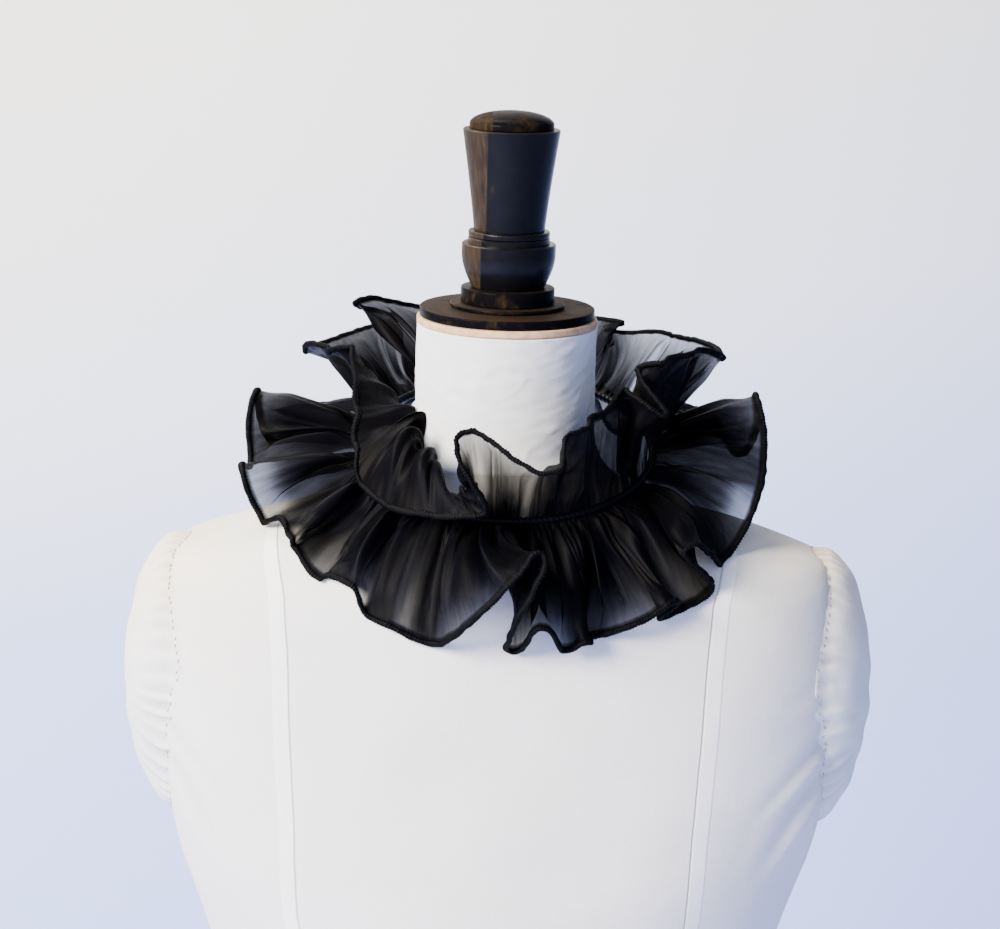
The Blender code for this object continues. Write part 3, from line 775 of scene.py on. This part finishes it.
def makeRibbon():
    # a narrow ribbon drawn up into a soft cord: an oval section that swells with each gather
    angle = np.radians(np.linspace(-ribbonCord["end"], ribbonCord["end"], ribbonCord["samples"]))
    path = ringPoint(angle)
    along = unit(np.gradient(path, axis=0))
    outwards = np.stack([np.sin(angle), -np.cos(angle), np.zeros_like(angle)], axis=-1)
    outwards = unit(outwards - (outwards * along).sum(axis=1, keepdims=True) * along)
    turn = np.linspace(0.0, fullTurn, ribbonCord["around"], endpoint=False)[None]
    waves = np.cos(collar["gathers"] * 1.3 * angle[:, None] + 2.0 * turn)
    size = ribbonCord["radius"] * (1.0 + ribbonCord["swell"] * waves)
    size[[0, -1]] *= ribbonCord["endSize"]
    points = tubePoints(path, outwards, np.cross(outwards, along), size, size, ribbonCord["around"])
    piece = gridMesh("gatherRibbon", points, ribbon, "ribbon", closed=True, merge=True)
    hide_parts("gather_band")


for frillName, frill in frills.items():
    makeFrill(frillName, frill)
makeRibbon()
for node, material in (("closing_hook", japanned), ("closing_eye", japanned), ("base_board", boardWood)):
    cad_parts[node].data.materials.clear()
    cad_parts[node].data.materials.append(material)
print("collar made")


# The covered torso, its seams and its shoulder caps

torso = {
    # the princess seams: height, and distance from the middle at the front and at the back
    "seamRows": (
        (0.00, 0.072, 0.066),
        (0.12, 0.074, 0.068),
        (0.24, 0.062, 0.058),
        (0.33, 0.095, 0.070),
        (0.41, 0.1143, 0.084),
        (0.47, 0.1170, 0.090),
        (0.52, 0.1204, 0.094),
        (0.57, 0.1228, 0.094),
        (0.60, 0.1257, 0.092),
        (0.63, 0.134, 0.090),
    ),
    "seamTop": 0.646,
    "seamReach": 0.03,        # distances beyond this are all alike
    "top": 0.690,             # the neck's own cover takes over below this
    # drag lines: from x, z to x, z, then depth and width
    "drags": (
        (0.202, 0.506, 0.150, 0.462, 0.0015, 0.0040),
        (0.200, 0.482, 0.160, 0.425, 0.0017, 0.0055),
        (0.198, 0.540, 0.168, 0.532, 0.0008, 0.0040),
    ),
    "puckerDepth": 0.0009,
    "puckerReach": 0.010,
    "sag": 0.0007,
    "sagSize": 0.10,
    "ripple": 0.00012,
    "rippleSize": 0.03,
}
cap = {
    "z": 0.530,
    "halfDepth": 0.050,
    "halfHeight": 0.086,
    "bulge": 0.0318,
    "roundness": 1.06,
    "tuck": 0.0085,           # how far its edge goes in under the torso's cloth
    "tuckShare": 0.03,
    "flare": 0.155,
    "flareFrom": 0.190,
    "flareWidth": 0.0075,
    "puckers": 44,
    "puckerReach": (0.22, 0.20),    # at the top, and how much more below
    "puckerSize": (0.011, 0.030),
    "puckerStart": 0.04,
    "dents": 0.0006,
    "dentSize": 0.03,
    "columns": 360,
    "rows": 76,
}


def capPlace(points):
    # (distance outside the armhole seam in metres, angle round the seam) for points near a cap
    y = points[..., 1] / cap["halfDepth"]
    z = (points[..., 2] - cap["z"]) / cap["halfHeight"]
    radius = np.hypot(y, z)
    scale = np.hypot(cap["halfDepth"] * y, cap["halfHeight"] * z) / np.maximum(radius, 1e-6)
    return (radius - 1.0) * scale, np.arctan2(z, y)


def puckers(angle, seed):
    # uneven radial wrinkles round the armhole seam: narrow ridges exp(1.2 (sin - 1)) between wide hollows
    around = np.stack([np.cos(angle), np.sin(angle)], axis=-1)
    wave = np.sin(cap["puckers"] * angle + 2.2 * softNoise(around, 1.1, seed))
    return (1.9 * np.exp(1.2 * (wave - 1.0)) - 0.75) * (0.75 + 0.3 * softNoise(around, 0.5, seed + 1))


def backSeamDistance(points):
    # the distance from the middle of the back; the front is far from it
    return np.hypot(points[..., 0], np.minimum(points[..., 1], 0.0))


def dragLines(points):
    # cloth pulled from the armhole's foot towards the waist: a ridge beside a hollow, each a Gaussian
    # of the distance from a slanting line, fading along it
    total = np.zeros(points.shape[:-1])
    for side in (-1, 1):
        for startX, startZ, endX, endZ, depth, wide in torso["drags"]:
            way = np.array([endX - startX, endZ - startZ])
            length = np.linalg.norm(way)
            way /= length
            fromX, fromZ = side * points[..., 0] - startX, points[..., 2] - startZ
            along = (fromX * way[0] + fromZ * way[1]) / length
            off = (fromZ * way[0] - fromX * way[1]) / wide
            fade = smoothStep(along, -0.15, 0.1) * smoothStep(-along, -1.0, -0.35) * (points[..., 1] < 0.01)
            total += depth * fade * (np.exp(-(off**2)) - np.exp(-((off + 1.5) ** 2)))
    return total


def makeTorso():
    # the form's own levels, with soft hollows and drag lines, and the distance to each seam for its line
    places = np.linspace(0.0, 1.0, len(formCurve))
    heights = np.interp(np.linspace(0.0, 1.0, form["rings"]), places, formTable["height"])
    points = formPoints(heights[heights < torso["top"]], form["around"])
    normal = normalsOf(points, closed=True)
    x, y, z = points[..., 0], points[..., 1], points[..., 2]
    rows = np.asarray(torso["seamRows"])
    seamX = np.where(y < 0, np.interp(z, rows[:, 0], rows[:, 1]), np.interp(z, rows[:, 0], rows[:, 2]))
    facing = np.abs(normal[..., 1]) / np.maximum(np.hypot(normal[..., 0], normal[..., 1]), 1e-6)
    far = torso["seamReach"]
    distance = np.clip((np.abs(x) - seamX) / np.maximum(facing, 0.3), -far, far)
    distance = distance + far * smoothStep(z, torso["seamTop"] - 0.004, torso["seamTop"])
    outer, angle = capPlace(points)
    nearCap = (np.abs(x) > 0.12) * np.exp(-((np.maximum(outer, 0.0) / torso["puckerReach"]) ** 1.3))
    pleats = puckers(angle, 41) * nearCap * smoothStep(-z, -0.60, -0.47)
    sag = softNoise(points * np.array([1.0, 1.0, 1.8]), torso["sagSize"], 51)
    ripple = softNoise(points * np.array([0.5, 1.0, 1.6]), torso["rippleSize"], 52)
    drag = dragLines(points)
    height = torso["puckerDepth"] * pleats + torso["sag"] * sag + torso["ripple"] * ripple + drag
    shoulder = smoothStep(z, 0.50, 0.62) * smoothStep(np.abs(x), 0.08, 0.2)
    edge = (np.abs(x) > 0.15) * np.exp(-((outer / 0.0045) ** 2)) * smoothStep(z, 0.5, 0.6)
    paint = {
        "age": 0.42 * shoulder + 0.25 * edge,
        # painted shade greys the hollows of the puckers and of the drag lines
        "creaseShade": np.clip(-0.9 * pleats, 0.0, 0.5) + np.clip(-drag / 0.0070, 0.0, 0.25),
        "seamDistance": distance,
        "backDistance": backSeamDistance(points),
    }
    points = points + height[..., None] * normal
    piece = gridMesh("torsoCover", points, calico, "calico", closed=True, paint=paint)
    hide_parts("form_torso")


neck = {
    "radius": 0.0541,
    "bottom": 0.664,
    "top": 0.7512,
    "tuck": 0.003,            # its foot goes in under the torso's cloth
    "folds": 0.0003,
    "foldWidth": 0.16,
    "fine": 0.00012,
    "slack": 0.0002,
    "crinkle": 0.00004,
    "around": 320,
    "rows": 110,
}


def makeNeck():
    # a sleeve of cotton: radius = neck + wrinkles, where a wrinkle is a narrow fold along the
    # zero line of a slanting noise
    height = np.linspace(neck["bottom"], neck["top"], neck["rows"])[:, None]
    angle = np.linspace(0.0, fullTurn, neck["around"], endpoint=False)[None]
    formRadius = form["levels"][-1][1]
    flat = np.stack(np.broadcast_arrays(np.cos(angle) * formRadius, np.sin(angle) * formRadius, height), -1)
    slant = flat @ np.array([[1.0, 0.0, 0.5], [0.0, 1.0, 0.0], [0.4, 0.0, 1.3]])
    field = softNoise(slant, 0.055, 61)
    fine = softNoise(slant * np.array([1.0, 1.0, 1.4]), 0.017, 62)
    folds = np.exp(-((field / neck["foldWidth"]) ** 2)) * (0.5 + 0.5 * np.abs(fine))
    crinkle = softNoise(slant * np.array([0.8, 0.8, 2.2]), 0.016, 63)
    wrinkle = neck["folds"] * folds + neck["fine"] * fine + neck["slack"] * field + neck["crinkle"] * crinkle
    radius = neck["radius"] + wrinkle - neck["tuck"] * smoothStep(-height, -0.672, -0.665)
    # below the neck's foot it widens as the form does
    side, front, back = (np.maximum(level - formRadius, 0.0) for level in formAt(height)[:3])
    depth = np.where(np.cos(angle) > 0, front, back)
    radius = radius + depth * np.cos(angle) ** 2 + side * np.sin(angle) ** 2
    points = turnedRound(radius, height, neck["around"])
    paint = {"age": 0.12 + 0.2 * folds, "seamDistance": 0.05, "backDistance": backSeamDistance(points)}
    piece = gridMesh("neckCover", points, neckCloth, "calico", closed=True, paint=paint)
    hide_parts("form_torso")


def capPoints(side, seed, angle, share):
    # half an ellipsoid over the armhole, gathered into its seam by puckers that fade towards its middle:
    # x = bulge sin(b), y = depth cos(b) cos(a), z = height cos(b) sin(a), with b from 0 at the seam;
    # its edge flares, to lie on in the torso's own curve
    rise = 0.5 * math.pi * share
    lower = smoothStep(-np.sin(angle), -0.45, 0.35)
    reach, size = (top + more * lower for top, more in (cap["puckerReach"], cap["puckerSize"]))
    fade = np.exp(-((share / reach) ** 1.6)) * np.minimum(share / cap["puckerStart"], 1.0)
    pleats = puckers(angle, seed) * fade
    grow = (1.0 + size * pleats) * np.cos(rise)
    tuck = cap["tuck"] * np.exp(-((share / cap["tuckShare"]) ** 2))
    x = form["armholeX"] - tuck + cap["bulge"] * np.sin(rise) ** cap["roundness"]
    flare = 1.0 + cap["flare"] * np.exp(-((np.maximum(x - cap["flareFrom"], 0.0) / cap["flareWidth"]) ** 1.3))
    y = cap["halfDepth"] * np.cos(angle) * grow * flare
    z = cap["z"] + cap["halfHeight"] * np.sin(angle) * grow
    return np.stack(np.broadcast_arrays(side * x, y, z), axis=-1), pleats


def makeCap(name, node, side, seed):
    # the cap's points with shallow dents towards x, stained along its seam and on its top
    angle = np.linspace(0.0, fullTurn, cap["columns"], endpoint=False)[None]
    share = np.linspace(0.0, 0.995, cap["rows"])[:, None] ** 1.3
    points, pleats = capPoints(side, seed, angle, share)
    dents = softNoise(points, cap["dentSize"], seed + 5) * cap["dents"] * smoothStep(share, 0.0, 0.2)
    points = points + dents[..., None] * np.array([side, 0.0, 0.0])
    edge = np.exp(-((share / 0.05) ** 2))
    top = smoothStep(np.sin(angle), 0.5, 1.0)
    paint = {
        "age": 0.50 * np.clip(np.sin(angle), 0, 1) + (0.06 + 0.30 * top) * edge,
        # painted shade greys the hollows between the puckers
        "creaseShade": np.clip(-1.1 * pleats, 0.0, 0.7),
        "seamDistance": 0.05,
        "backDistance": 0.05,
    }
    piece = gridMesh(name, points, calico, "calico", closed=True, merge=True, paint=paint)
    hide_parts(node)


stitch = {
    "count": 104,
    "jitter": 0.015,
    "lift": 0.0004,
    "slant": (0.12, 0.5),
    "halfLength": 0.0012,
    "radius": 0.00026,
    "rings": 5,
    "sides": 6,
}


def makeStitches(name, side, seed):
    # hand stitches where the cap's cloth comes out of the torso's: little slanting six-sided capsules,
    # point = centre + s * length * along + radius(s) * ring, for s from -1 to 1
    random = np.random.default_rng(seed)
    count, rings, sides = stitch["count"], stitch["rings"], stitch["sides"]
    spot = np.linspace(0.0, fullTurn, count, endpoint=False)
    spot = spot + random.uniform(-stitch["jitter"], stitch["jitter"], count)
    rows = capPoints(side, seed, spot[None], np.linspace(0.0, 0.12, 90)[:, None])[0]
    free = (outsideForm(rows) > 0.0) | (np.abs(rows[..., 0]) > form["armholeX"])
    centre = rows[np.argmax(free, axis=0), np.arange(count)]
    lifted = np.stack([np.full(count, 0.3 * side), np.cos(spot), np.sin(spot)], axis=-1)
    centre = centre + stitch["lift"] * lifted
    tangent = unit(np.stack([
        np.zeros(count), -cap["halfDepth"] * np.sin(spot), cap["halfHeight"] * np.cos(spot)], axis=-1))
    along = unit(tangent + random.uniform(*stitch["slant"], (count, 1)) * np.array([side, 0.0, 0.0]))
    outward = unit(np.cross(along, tangent))
    across = np.cross(outward, along)
    place = np.linspace(-1.0, 1.0, rings)[None, :, None, None]
    radius = stitch["radius"] * np.sqrt(np.maximum(1.0 - place**4, 0.05))
    turn = np.linspace(0.0, fullTurn, sides, endpoint=False)[None, None, :, None]
    ring = np.cos(turn) * across[:, None, None] + np.sin(turn) * outward[:, None, None]
    points = centre[:, None, None] + stitch["halfLength"] * place * along[:, None, None] + radius * ring
    index = np.arange(count * rings * sides).reshape(count, rings, sides)
    after = np.roll(index, -1, axis=2)
    faces = np.stack([index[:, :-1], after[:, :-1], after[:, 1:], index[:, 1:]], axis=-1)
    faces = faces.reshape(-1, 4).tolist() + index[:, 0, ::-1].tolist() + index[:, -1].tolist()
    mesh = newMesh(name, points, faces, linenThread)
    closeMesh(mesh)
    addPiece(name, mesh)


makeTorso()
makeNeck()
for capName, capNode, capSide, capSeed in (
    ("capCoverRight", "shoulder_cap_right", -1, 71),
    ("capCoverLeft", "shoulder_cap_left", 1, 83),
):
    makeCap(capName, capNode, capSide, capSeed)
    makeStitches(capName + "Stitches", capSide, capSeed)
print("form made")


# The turned neck block and finial, stacked upwards from the top of the covered neck

turned = {
    "around": 128,
    "edge": 0.0008,           # how far a slab's edge is rounded
    "arris": 0.0006,          # how far a sharper edge is eased
    "axis": 1e-5,             # the radius that stands for the middle
    "gap": 0.0003,
    "wearAndReflectionBack": 0.012,      # the band of wear and painted reflection ends this far behind the middle
    "sharp": 38.0,            # edges steeper than this stay sharp
    "cupStep": 0.87,          # the step's radius, as a share of the rim
    "cupStepHeight": 0.0036,
    "cupSwell": 0.8,
    "knobHollow": 1.15,
    "domeUpright": 0.0026,
}


def slabOutline(height, radius):
    # a flat round slab: across the top, round a quarter-circle edge, down the side, and back underneath
    edge, axis = turned["edge"], turned["axis"]
    arc = np.radians(np.linspace(0.0, 90.0, 5))
    top = np.stack([radius - edge + edge * np.sin(arc), height - edge + edge * np.cos(arc)], axis=-1)
    bottom = np.stack([radius - edge + edge * np.cos(arc), edge - edge * np.sin(arc)], axis=-1)
    inner = [[axis, height], [0.5 * radius, height], [0.8 * radius, height]]
    return np.vstack([inner, top, bottom, [[0.5 * radius, 0.0], [axis, 0.0]]])


def cupOutline(height, foot, rim):
    # a small step at the top, then a bowl: radius = foot + (rim - foot) sin of the height's share
    arris, axis = turned["arris"], turned["axis"]
    step, shoulder = turned["cupStep"] * rim, height - turned["cupStepHeight"]
    share = np.linspace(1.0, 0.0, 26)
    swell = np.sin(0.5 * math.pi * np.minimum(1.0, share / turned["cupSwell"]))
    side = np.stack([foot + (rim - foot) * swell, share * (shoulder - arris)], axis=-1)
    top = [[axis, height], [step - arris, height], [step, height - arris], [step, shoulder],
           [rim - 0.0007, shoulder]]
    return np.vstack([top, side, [[foot - 0.002, 0.0], [axis, 0.0]]])


def knobOutline(height, foot, top):
    # the tapering grip: radius = foot + (top - foot) * share ** 1.15
    arris, axis = turned["arris"], turned["axis"]
    share = np.linspace(1.0, 0.0, 30)
    side = np.stack([foot + (top - foot) * share ** turned["knobHollow"], share * (height - arris)], axis=-1)
    return np.vstack([[[axis, height], [0.7 * top, height], [top - arris, height]], side, [[axis, 0.0]]])


def domeOutline(height, radius):
    # a low dome: height = upright + (height - upright) cos of a quarter turn, on an upright edge
    upright, axis = turned["domeUpright"], turned["axis"]
    arc = np.radians(np.linspace(0.0, 90.0, 22))
    rise = upright + (height - upright) * np.cos(arc)
    dome = np.stack([np.maximum(radius * np.sin(arc), axis), rise], axis=-1)
    return np.vstack([dome, [[radius, 0.0004], [radius - 0.0004, 0.0], [axis, 0.0]]])


def makeTurned(name, node, outline, bottom, finish, wearAndReflectionAt, dusty):
    # the outline (radius, height) turned about the upright axis; left of the given edge it gets a brown band
    # of worn varnish and painted reflection
    radius, height = outline[:, :1], outline[:, 1:]
    points = turnedRound(radius, bottom + height, turned["around"])
    wearAndReflection = np.minimum(wearAndReflectionAt - points[..., 0], turned["wearAndReflectionBack"] - points[..., 1])
    climb, spread = np.gradient(height[:, 0]), np.gradient(radius[:, 0])
    slope = np.abs(climb) / (np.hypot(climb, spread) + 1e-9)
    top = dusty * (1.0 - smoothStep(slope, 0.2, 0.6))[:, None] * (height > 0.5 * height.max())
    piece = gridMesh(name, points, *finish, closed=True, merge=True, paint={"wearAndReflection": wearAndReflection, "dusty": top})
    piece.data.set_sharp_from_angle(angle=math.radians(turned["sharp"]))
    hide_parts(node)


never = -1.0  # an edge so far left that no band of wear and painted reflection is drawn
tape = (tapePaper, "tape")
dull = (discWood, "ebonised_wood")
handled = (knobWood, "ebonised_wood")
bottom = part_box("neck_tape")[0].z
# the cup, ring and knob carry the brown band of wear and painted reflection on their left
for name, node, height, outline, radii, finish, wearAndReflectionAt, dust in (
    ("neckTape", "neck_tape", 0.0042, slabOutline, (0.0541,), tape, never, 0.0),
    ("neckDisc", "neck_disc", 0.0054, slabOutline, (0.0525,), dull, never, 1.0),
    ("discStep", "disc_step", 0.0024, slabOutline, (0.0343,), dull, never, 0.8),
    ("finialPlinth", "finial_plinth", 0.0092, slabOutline, (0.0281,), dull, never, 0.3),
    ("finialCup", "finial_cup", 0.0296, cupOutline, (0.0220, 0.0281), handled, -0.0162, 0.2),
    ("finialRing", "finial_ring", 0.0036, slabOutline, (0.0243,), handled, -0.0150, 0.2),
    ("finialKnob", "finial_knob", 0.0598, knobOutline, (0.0212, 0.0289), handled, -0.0136, 0.5),
    ("finialDome", "finial_dome", 0.0104, domeOutline, (0.0251,), dull, -0.0110, 0.35),
):
    makeTurned(name, node, outline(height, *radii), bottom, finish, wearAndReflectionAt, dust)
    bottom += height + turned["gap"]
print("finial made")


# Camera, light and the pale room

view = {
    "place": (0.0, -1.4785552, 1.0147341),
    "turn": 0.073,            # degrees to the left
    "down": 13.331,
    "roll": 1.5,              # the picture is tilted a little
    "lens": 90.0,
    "sensor": 36.0,
}
cameraData = bpy.data.cameras.new("camera")
cameraData.lens = view["lens"]
cameraData.sensor_width = view["sensor"]
cameraData.clip_end = 50.0
camera = addObject("camera", cameraData)
camera.matrix_world = (
    Matrix.Translation(view["place"])
    @ Matrix.Rotation(math.radians(view["turn"]), 4, "Z")
    @ Matrix.Rotation(math.radians(90.0 - view["down"]), 4, "X")
    @ Matrix.Rotation(math.radians(view["roll"]), 4, "Z")
)
bpy.context.scene.camera = camera

room = {
    "width": 10.0,
    "front": -4.2,
    "back": 3.4,              # far enough back to look at the form from behind
    "cornerRadius": 1.7,
    "height": 3.6,
    # painted shade: how the paint's place in its ramp grows along X, Y and Z, and where it starts:
    # bluer and darker low down and to the right, away from the window
    "slopes": (-0.16, 0.26, 0.5),
    "start": -0.22,
    "paintedShadeColours": ((0.0, "#A6B6F6"), (0.30, "#B9C9FC"), (0.58, "#DCE3F6"), (1.0, "#EFEDE8")),
}


def makeRoom():
    # the floor runs back, turns up through a quarter circle and goes on as the wall
    arc = np.radians(np.linspace(0.0, 90.0, 49))
    radius, back = room["cornerRadius"], room["back"]
    bend = np.stack([back - radius * (1.0 - np.sin(arc)), radius * (1.0 - np.cos(arc))], axis=-1)
    line = np.vstack([[[room["front"], 0.0]], bend, [[back, room["height"]]]])
    across = np.array([-0.5, 0.5])[None] * room["width"]
    points = np.stack(np.broadcast_arrays(across, line[:, :1], line[:, 1:]), axis=-1)
    index = np.arange(len(line) * 2).reshape(-1, 2)
    quads = np.stack([index[:-1, 0], index[:-1, 1], index[1:, 1], index[1:, 0]], axis=-1).tolist()
    # flat white emulsion: matt, with painted shade that is bluer and darker low down and to the right, away
    # from the window
    material, tree, shader = newMaterial("white wall with painted shade", Roughness=0.95)
    place = addNode(tree, "TexCoord")
    axes = addNode(tree, "SeparateXYZ", {"Vector": place.outputs["Object"]})
    level = room["start"]
    for axis, slope in zip("XYZ", room["slopes"]):
        level = addNode(tree, "Math", {0: axes.outputs[axis], 1: slope, 2: level}, operation="MULTIPLY_ADD")
    feed(tree, shader, {"Base Color": addNode(tree, "ValToRGB", {"Fac": level}, room["paintedShadeColours"])})
    addObject("room", newMesh("room", points, quads, material))


def addLamp(name, place, target, size, power, hexText):
    # a soft rectangle of light that faces its target
    lamp = bpy.data.lights.new(name, "AREA")
    lamp.shape = "RECTANGLE"
    lamp.size, lamp.size_y = size
    lamp.energy = power
    lamp.color = linearColour(hexText)[:3]
    towards = np.array(target, float) - np.array(place, float)
    turnZ = math.atan2(towards[0], -towards[1])
    tilt = math.acos(-towards[2] / np.linalg.norm(towards))
    addObject(name, lamp).matrix_world = (
        Matrix.Translation(place) @ Matrix.Rotation(turnZ + math.pi, 4, "Z") @ Matrix.Rotation(tilt, 4, "X")
    )


makeRoom()
addLamp("window", (-1.52, -1.35, 1.62), (0.0, 0.0, 0.60), (1.0, 1.0), 270.0, "#FFF8EC")
addLamp("fill", (0.1, -2.5, 1.3), (0.0, 0.0, 0.55), (1.6, 1.2), 18.0, "#E4EAFF")
addLamp("blueStrip", (-0.42, -2.2, 1.15), (0.0, 0.0, 0.80), (0.09, 1.3), 8.0, "#8496FF")
addLamp("wallWash", (-1.3, 1.3, 2.9), (-0.4, 2.9, 0.5), (2.6, 1.0), 250.0, "#FFF9EE")
addLamp("backGlow", (-0.9, 0.9, 1.9), (0.0, 0.0, 0.60), (1.2, 0.8), 12.0, "#DCE6FF")
world = bpy.data.worlds.new("soft sky")
world.use_nodes = True
sky = world.node_tree.nodes["Background"]
sky.inputs["Color"].default_value = linearColour("#B4C8FF")
sky.inputs["Strength"].default_value = 0.62
bpy.context.scene.world = world
print("room and light made")
